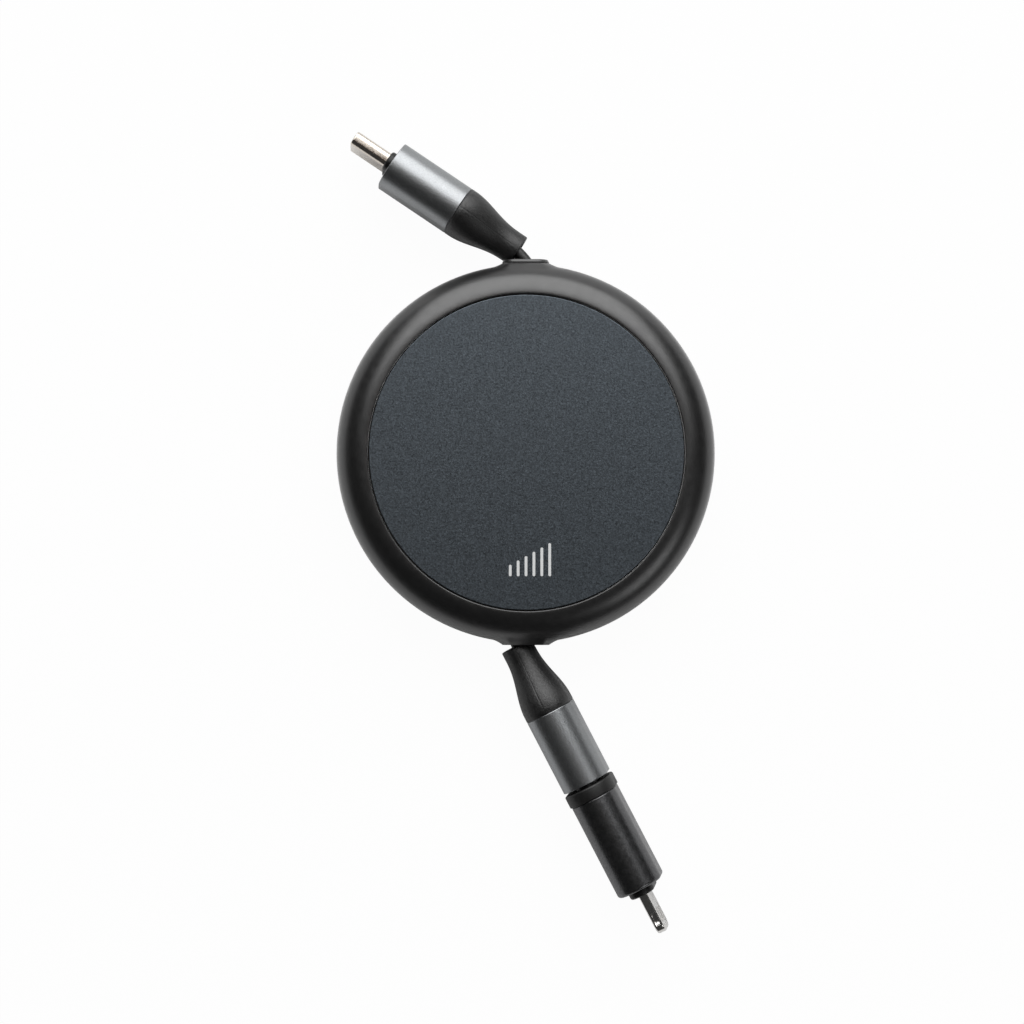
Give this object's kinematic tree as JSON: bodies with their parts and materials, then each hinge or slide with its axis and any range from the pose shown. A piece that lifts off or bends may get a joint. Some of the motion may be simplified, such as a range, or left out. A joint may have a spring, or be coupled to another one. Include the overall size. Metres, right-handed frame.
{
  "type": "retractable charging cable",
  "caption": "Retractable charging cable: a sprung reel in a round puck housing pays out a flat lead from opposite mouths, with a plug on each end and a push-on adapter.",
  "frame": {"origin": "centre of the flat rear face that the housing lies on", "axes": "+Z out of the face plate, +Y towards the upper mouth, +X to the right as seen on the face plate"},
  "size_m": [0.06, 0.127, 0.014],
  "materials": {
    "housing": "fine matte black",
    "plate": "dark grey, fine grain, satin",
    "tape": "double-sided adhesive film",
    "steel": "plain steel",
    "grommet": "satin black",
    "spool": "moulded dark grey",
    "cable": "soft matte black",
    "relief": "soft matte black",
    "sleeve": "black, fine grain, satin",
    "plug_base": "satin black",
    "tip_metal": "polished nickel plate",
    "insulator": "plain black",
    "contact_metal": "gold-coloured plate",
    "board": "green circuit board",
    "chip": "plain black",
    "adapter": "satin black"
  },
  "bodies": {
    "housing": {"rear_cover": "housing", "front_cover": "housing", "face_plate": "plate", "plate_tape": "tape", "centre_screw": "steel", "upper_grommet": "grommet", "lower_grommet": "grommet"},
    "reel": {"spool": "spool", "spool_cover": "spool", "power_spring": "steel", "cable_coil": "cable"},
    "lock_ball": {"lock_ball": "steel"},
    "upper_plug": {"upper_cable": "cable", "upper_strain_relief": "relief", "upper_sleeve": "sleeve", "upper_plug_base": "plug_base", "upper_plug_tube": "tip_metal", "upper_contact_block": "insulator", "upper_contacts": "contact_metal", "upper_board": "board", "upper_chip": "chip"},
    "lower_plug": {"lower_cable": "cable", "lower_strain_relief": "relief", "lower_sleeve": "sleeve", "lower_plug_base": "plug_base", "lower_plug_tube": "tip_metal", "lower_contact_block": "insulator", "lower_contacts": "contact_metal", "lower_board": "board", "lower_chip": "chip"},
    "adapter": {"adapter_collar": "adapter", "adapter_body": "adapter", "adapter_socket_tube": "tip_metal", "adapter_socket_tongue": "insulator", "adapter_board": "board", "adapter_chip": "chip", "adapter_tip_base": "adapter", "adapter_blade": "tip_metal", "adapter_blade_insulator": "insulator", "adapter_blade_pads": "contact_metal"}
  },
  "joints": [
    {"name": "spool_spin", "type": "hinge", "parent": "housing", "child": "reel", "pos_m": [0, 0, 0.0062], "axis": [0, 0, 1], "range_deg": [0, 1350], "stiffness_Nm_per_rad": 0.0006, "springref_deg": -1432.39, "deforming": ["power_spring"]},
    {"name": "upper_pull", "type": "slide", "parent": "housing", "child": "upper_plug", "axis": [-0.8305, 0.557, 0], "range_m": [0, 0.396], "deforming": ["upper_cable"]},
    {"name": "lower_pull", "type": "slide", "parent": "housing", "child": "lower_plug", "axis": [0.4617, -0.887, 0], "range_m": [0, 0.396], "deforming": ["lower_cable"]},
    {"name": "lock_ball_slide", "type": "slide", "parent": "housing", "child": "lock_ball", "axis": [-1, 0, 0], "range_m": [0, 0.0017]},
    {"name": "adapter_pull", "type": "slide", "parent": "lower_plug", "child": "adapter", "axis": [0.4617, -0.887, 0], "range_m": [0, 0.012]}
  ],
  "couplings": [
    {"joint": "upper_pull", "follows": "spool_spin", "m_per_rad": 0.0168},
    {"joint": "lower_pull", "follows": "spool_spin", "m_per_rad": 0.0168}
  ]
}
